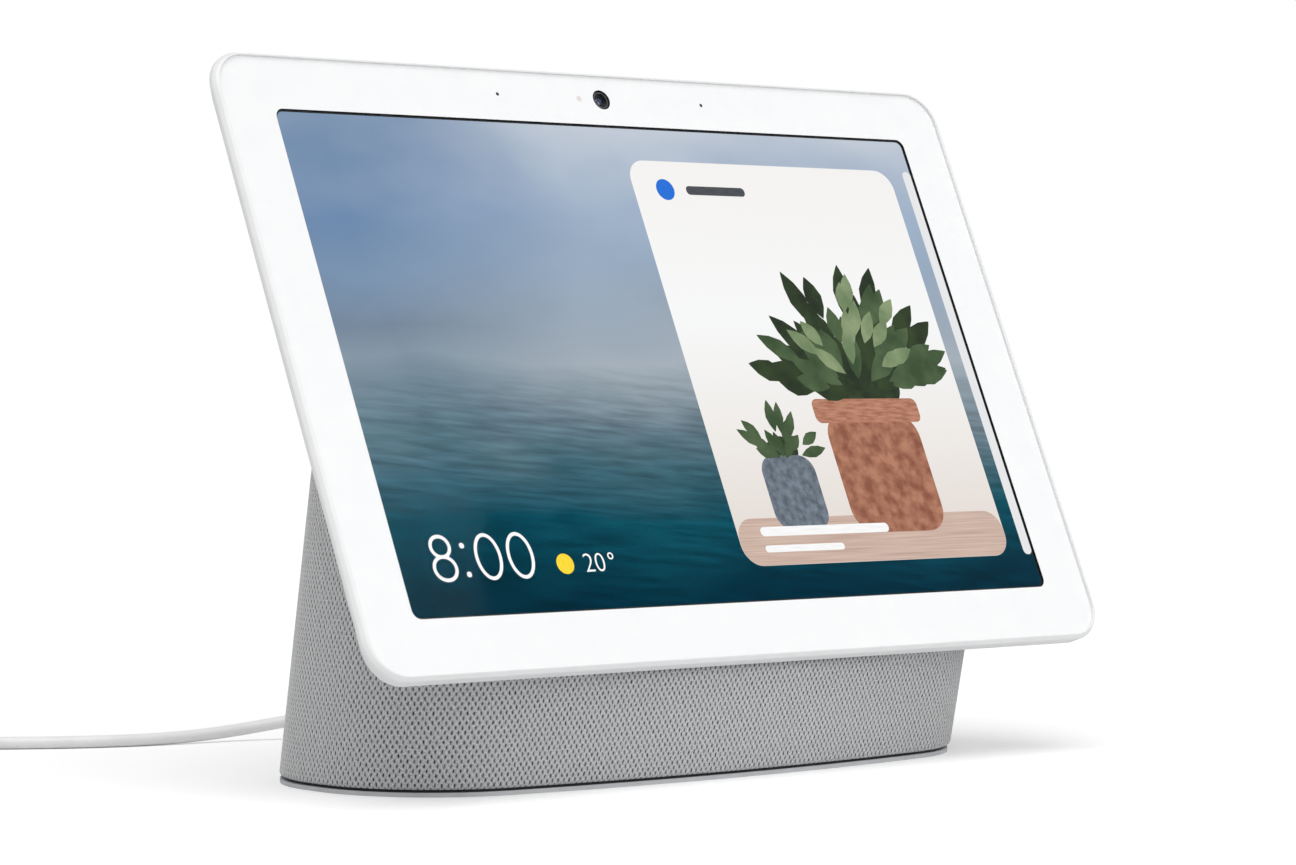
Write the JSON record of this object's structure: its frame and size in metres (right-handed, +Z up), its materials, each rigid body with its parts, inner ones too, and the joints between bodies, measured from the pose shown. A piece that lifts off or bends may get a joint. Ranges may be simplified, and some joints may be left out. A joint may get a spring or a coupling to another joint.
{
  "type": "smart display",
  "caption": "Tilted touch-screen display on a fabric-covered speaker base, with camera, volume rocker, privacy switch and a mains lead.",
  "frame": {"origin": "centre of the base's footprint, on the surface that the foot pad rests on", "axes": "+X to the right of somebody facing the screen, +Y to the back, +Z up; the screen faces -Y and leans back"},
  "size_m": [0.3916, 0.2373, 0.182],
  "materials": {
    "front_glass": "clear cover glass",
    "white_border": "white print behind glass",
    "picture": "liquid crystal panel",
    "light_guide": "light guide and diffuser films",
    "adhesive": "foam adhesive",
    "sheet_metal": "folded sheet",
    "white_plastic": "fine satin, off-white",
    "inner_plastic": "black moulded plastic",
    "circuit": "green solder resist",
    "chip": "black epoxy",
    "lens": "black lens barrel",
    "flex": "amber polyimide flex",
    "knit": "light grey knit",
    "silicone": "soft silicone",
    "foam": "black foam",
    "steel": "zinc plated",
    "aluminium": "bead blasted",
    "thermal": "soft thermal pad",
    "magnet": "ferrite",
    "paper_cone": "pressed cone",
    "soft_rubber": "half-roll rubber",
    "copper_coil": "enamelled copper winding",
    "dome_silk": "coated silk",
    "lead_plastic": "white moulded plastic",
    "lead_rubber": "soft white PVC",
    "nickel": "nickel plated"
  },
  "bodies": {
    "display": {"cover_glass": "front_glass", "border_mask": "white_border", "glass_adhesive": "adhesive", "lcd_panel": "picture", "backlight_unit": "light_guide", "lcd_frame": "sheet_metal", "rear_housing": "white_plastic", "sensor_board": "circuit", "camera_module": "inner_plastic", "camera_lens": "lens", "light_sensor": "chip", "microphones": "sheet_metal", "microphone_gaskets": "foam", "wifi_antennas": "flex", "volume_board": "circuit", "volume_switches": "sheet_metal", "privacy_switch": "inner_plastic", "display_ribbon": "flex", "sensor_ribbon": "flex", "head_screws": "steel", "fabric_sleeve": "knit", "base_shell": "inner_plastic", "base_plate": "inner_plastic", "foot_pad": "silicone", "plate_screws": "steel", "main_board": "circuit", "board_connectors": "inner_plastic", "board_chips": "chip", "shield_cans": "sheet_metal", "thermal_pads": "thermal", "heat_spreader": "aluminium", "board_screws": "steel", "power_board": "circuit", "power_parts": "chip", "dc_jack": "inner_plastic", "jack_bezel": "white_plastic", "woofer_gasket": "foam", "woofer_basket": "steel", "woofer_top_plate": "steel", "woofer_magnet": "magnet", "woofer_yoke": "steel", "woofer_surround": "soft_rubber", "woofer_spider": "dome_silk", "woofer_screws": "steel", "tweeter_bodies": "inner_plastic"},
    "volume_key": {"volume_rocker": "white_plastic"},
    "privacy_key": {"privacy_slider": "white_plastic"},
    "woofer_piston": {"woofer_cone": "paper_cone", "woofer_dust_cap": "paper_cone", "woofer_voice_coil": "copper_coil"},
    "left_dome": {"tweeter_dome_left": "dome_silk"},
    "right_dome": {"tweeter_dome_right": "dome_silk"},
    "power_lead": {"power_plug": "lead_plastic", "strain_relief": "lead_rubber", "power_cord": "lead_rubber", "cord_coil": "lead_rubber", "power_cord_end": "lead_rubber", "cord_tie": "lead_rubber", "adapter_body": "lead_plastic", "adapter_pins": "nickel"}
  },
  "joints": [
    {"name": "volume_rock", "type": "hinge", "parent": "display", "child": "volume_key", "pos_m": [0.1175, -0.00412, 0.13745], "axis": [1, 0, 0], "range_deg": [-1.2, 1.2], "stiffness_Nm_per_rad": 0.6},
    {"name": "privacy_slide", "type": "slide", "parent": "display", "child": "privacy_key", "axis": [1, 0, 0], "range_m": [0, 0.003]},
    {"name": "woofer_move", "type": "slide", "parent": "display", "child": "woofer_piston", "axis": [0, 0.9826, 0.1859], "range_m": [-0.004, 0.004], "stiffness_N_per_m": 1500, "deforming": ["woofer_surround", "woofer_spider"]},
    {"name": "left_dome_move", "type": "slide", "parent": "display", "child": "left_dome", "axis": [-0.1198, -0.9711, -0.2063], "range_m": [-0.0003, 0.0003], "stiffness_N_per_m": 1000},
    {"name": "right_dome_move", "type": "slide", "parent": "display", "child": "right_dome", "axis": [0.1198, -0.9711, -0.2063], "range_m": [-0.0003, 0.0003], "stiffness_N_per_m": 1000},
    {"name": "plug_pull", "type": "slide", "parent": "display", "child": "power_lead", "axis": [0, 1, 0], "range_m": [0, 0.014]}
  ]
}
